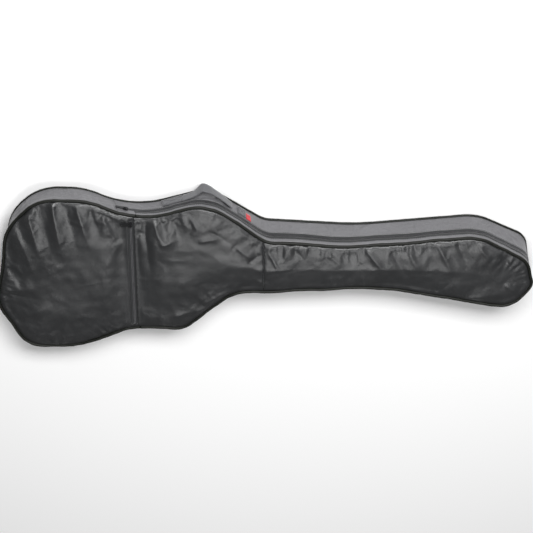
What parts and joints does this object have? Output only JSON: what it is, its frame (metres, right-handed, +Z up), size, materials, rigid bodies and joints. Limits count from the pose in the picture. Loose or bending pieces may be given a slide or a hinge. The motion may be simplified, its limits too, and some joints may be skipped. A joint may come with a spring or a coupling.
{
  "type": "padded gig bag",
  "caption": "Soft padded bag for an electric bass guitar, with a zip round the neck, a front pocket, a side handle and back straps.",
  "frame": {"origin": "the middle of the bag on the ground, as it lies on its back", "axes": "+X from the butt towards the head, +Y towards the carrying handle, +Z up through the front panel"},
  "size_m": [1.2441, 0.4193, 0.0838],
  "materials": {
    "front_cloth": "coated nylon, fine plain weave, soft sheen",
    "wall_cloth": "coated nylon, fine plain weave, catches more light",
    "piping": "satin vinyl-covered cord",
    "padding_foam": "open sponge",
    "lining_cloth": "thin brushed nylon",
    "zip_tape": "fine woven twill tape",
    "zip_coil": "nylon coil",
    "zip_metal": "black enamel, worn at the edges",
    "moulded_plastic": "fine grained moulding",
    "webbing": "ribbed polypropylene webbing",
    "label_cloth": "plain woven red ribbon"
  },
  "bodies": {
    "bag": {"pocket_panel": "front_cloth", "back_panel": "front_cloth", "strap_neck_patch_handle_side": "front_cloth", "strap_butt_patch_handle_side": "front_cloth", "strap_neck_patch_far_side": "front_cloth", "strap_butt_patch_far_side": "front_cloth", "butt_wall": "wall_cloth", "main_wall": "wall_cloth", "rear_piping": "piping", "butt_front_piping": "piping", "back_padding": "padding_foam", "wall_padding": "padding_foam", "tail_padding": "padding_foam", "back_lining": "lining_cloth", "wall_lining": "lining_cloth", "tail_lining": "lining_cloth", "pocket_back_panel": "lining_cloth", "zip_rear_tape": "zip_tape", "zip_end_tab_handle_side": "zip_tape", "zip_end_tab_far_side": "zip_tape", "pocket_zip_left_tape": "zip_tape", "pocket_zip_right_tape": "zip_tape", "zip_rear_coil": "zip_coil", "pocket_zip_left_coil": "zip_coil", "pocket_zip_right_coil": "zip_coil", "pocket_zip_stop_handle_side": "moulded_plastic", "pocket_zip_stop_far_side": "moulded_plastic", "handle_butt_anchor": "webbing", "handle_neck_anchor": "webbing", "strap_webbing_handle_side": "webbing", "strap_webbing_far_side": "webbing", "side_label": "label_cloth"},
    "lid": {"front_body_panel": "front_cloth", "front_neck_panel": "front_cloth", "front_padding": "padding_foam", "front_lining": "lining_cloth", "front_wall_strip": "wall_cloth", "front_piping": "piping", "zip_front_tape": "zip_tape", "zip_front_coil": "zip_coil"},
    "main_zip_slider": {"main_zip_slider": "zip_metal"},
    "main_zip_pull": {"main_zip_pull": "zip_metal"},
    "pocket_zip_slider": {"pocket_zip_slider": "zip_metal"},
    "pocket_zip_pull": {"pocket_zip_pull": "zip_metal"},
    "handle": {"handle_strap": "webbing", "handle_butt_leg": "webbing", "handle_neck_leg": "webbing"},
    "strap_adjuster_handle_side": {"strap_adjuster_handle_side": "moulded_plastic"},
    "strap_adjuster_far_side": {"strap_adjuster_far_side": "moulded_plastic"}
  },
  "joints": [
    {"name": "lid_fold", "type": "hinge", "parent": "bag", "child": "lid", "pos_m": [-0.29, 0, 0.069], "axis": [0, -1, 0], "range_deg": [0, 140]},
    {"name": "main_zip_travel", "type": "hinge", "parent": "bag", "child": "main_zip_slider", "pos_m": [-0.27453, 0.36276, 0.044], "axis": [-0.0108, 0, 0.9999], "range_deg": [0, 25]},
    {"name": "main_zip_pull_swing", "type": "hinge", "parent": "main_zip_slider", "child": "main_zip_pull", "pos_m": [-0.31372, 0.17245, 0.04368], "axis": [0, 0, -1], "range_deg": [0, 160]},
    {"name": "pocket_zip_travel", "type": "slide", "parent": "bag", "child": "pocket_zip_slider", "axis": [0, -1, 0], "range_m": [0, 0.269]},
    {"name": "pocket_zip_pull_swing", "type": "hinge", "parent": "pocket_zip_slider", "child": "pocket_zip_pull", "pos_m": [-0.303, 0.145, 0.073], "axis": [0, 0, 1], "range_deg": [-90, 90]},
    {"name": "handle_swing", "type": "hinge", "parent": "bag", "child": "handle", "pos_m": [-0.138, 0.19, 0.0239], "axis": [1, 0, 0], "range_deg": [-30, 30], "deforming": ["handle_butt_leg", "handle_neck_leg"]},
    {"name": "strap_adjuster_travel_handle_side", "type": "slide", "parent": "bag", "child": "strap_adjuster_handle_side", "axis": [0.9894, -0.1455, 0], "range_m": [-0.12, 0.12]},
    {"name": "strap_adjuster_travel_far_side", "type": "slide", "parent": "bag", "child": "strap_adjuster_far_side", "axis": [0.9894, 0.1455, 0], "range_m": [-0.12, 0.12]}
  ]
}
